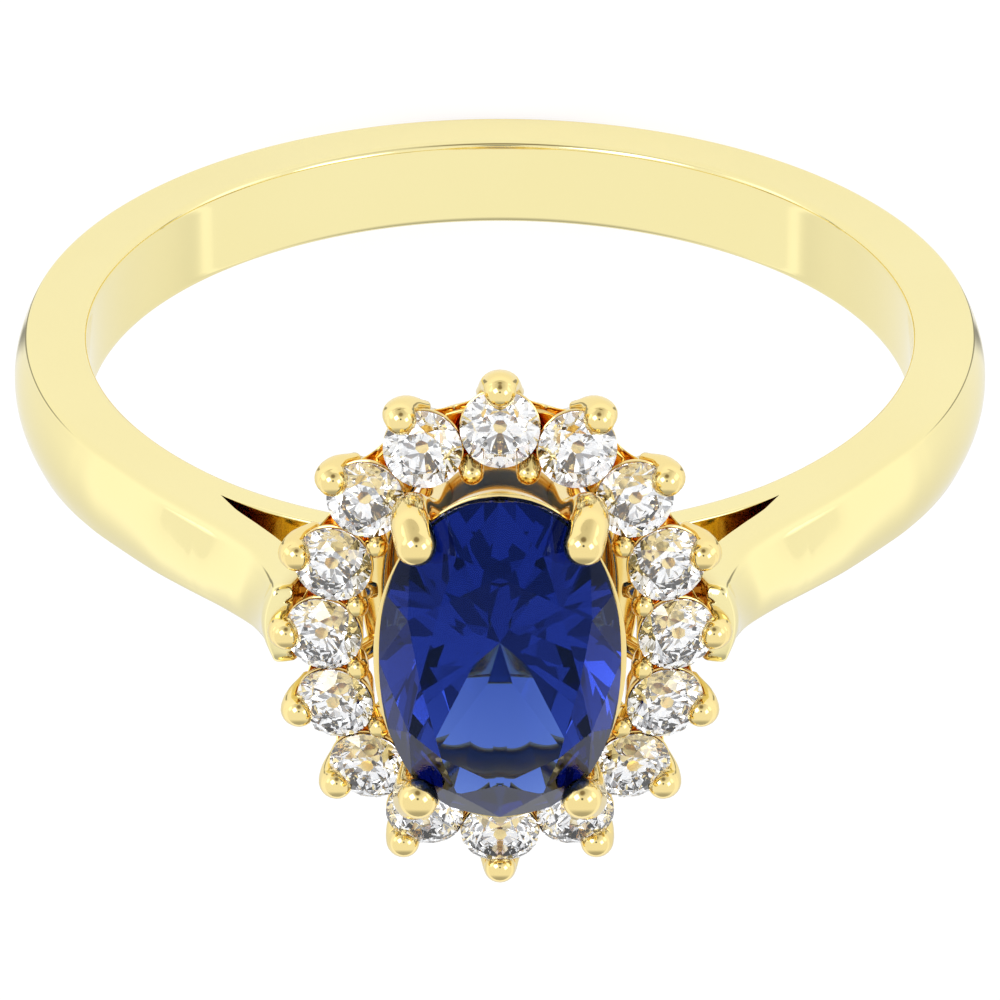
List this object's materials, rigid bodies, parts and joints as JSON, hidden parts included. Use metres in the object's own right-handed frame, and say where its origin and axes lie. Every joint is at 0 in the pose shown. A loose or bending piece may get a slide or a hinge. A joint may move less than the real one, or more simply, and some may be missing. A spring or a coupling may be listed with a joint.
{
  "type": "engagement ring",
  "caption": "Yellow gold cluster ring: claw-set oval blue sapphire in a halo of round diamonds, on a plain band with open cathedral shoulders.",
  "frame": {"origin": "centre of the finger bore, midway across the band's width", "axes": "+Y along the finger, through the bore; +Z from the bore's centre towards the sapphire; +X across the head's short side"},
  "size_m": [0.0198, 0.0112, 0.0229],
  "materials": {
    "gold": "high polish 18 ct yellow gold",
    "sapphire": "faceted royal blue sapphire, polished",
    "diamond": "faceted colourless diamond, polished"
  },
  "bodies": {
    "root": {"shank": "gold", "base_rail": "gold", "inner_rail": "gold", "halo_gallery": "gold", "seat_rail": "gold", "centre_claw_ne": "gold", "centre_claw_nw": "gold", "centre_claw_se": "gold", "centre_claw_sw": "gold", "halo_claws": "gold", "halo_pins": "gold", "centre_sapphire": "sapphire", "diamond_01": "diamond", "diamond_02": "diamond", "diamond_03": "diamond", "diamond_04": "diamond", "diamond_05": "diamond", "diamond_06": "diamond", "diamond_07": "diamond", "diamond_08": "diamond", "diamond_09": "diamond", "diamond_10": "diamond", "diamond_11": "diamond", "diamond_12": "diamond", "diamond_13": "diamond", "diamond_14": "diamond", "diamond_15": "diamond", "diamond_16": "diamond"}
  },
  "joints": []
}
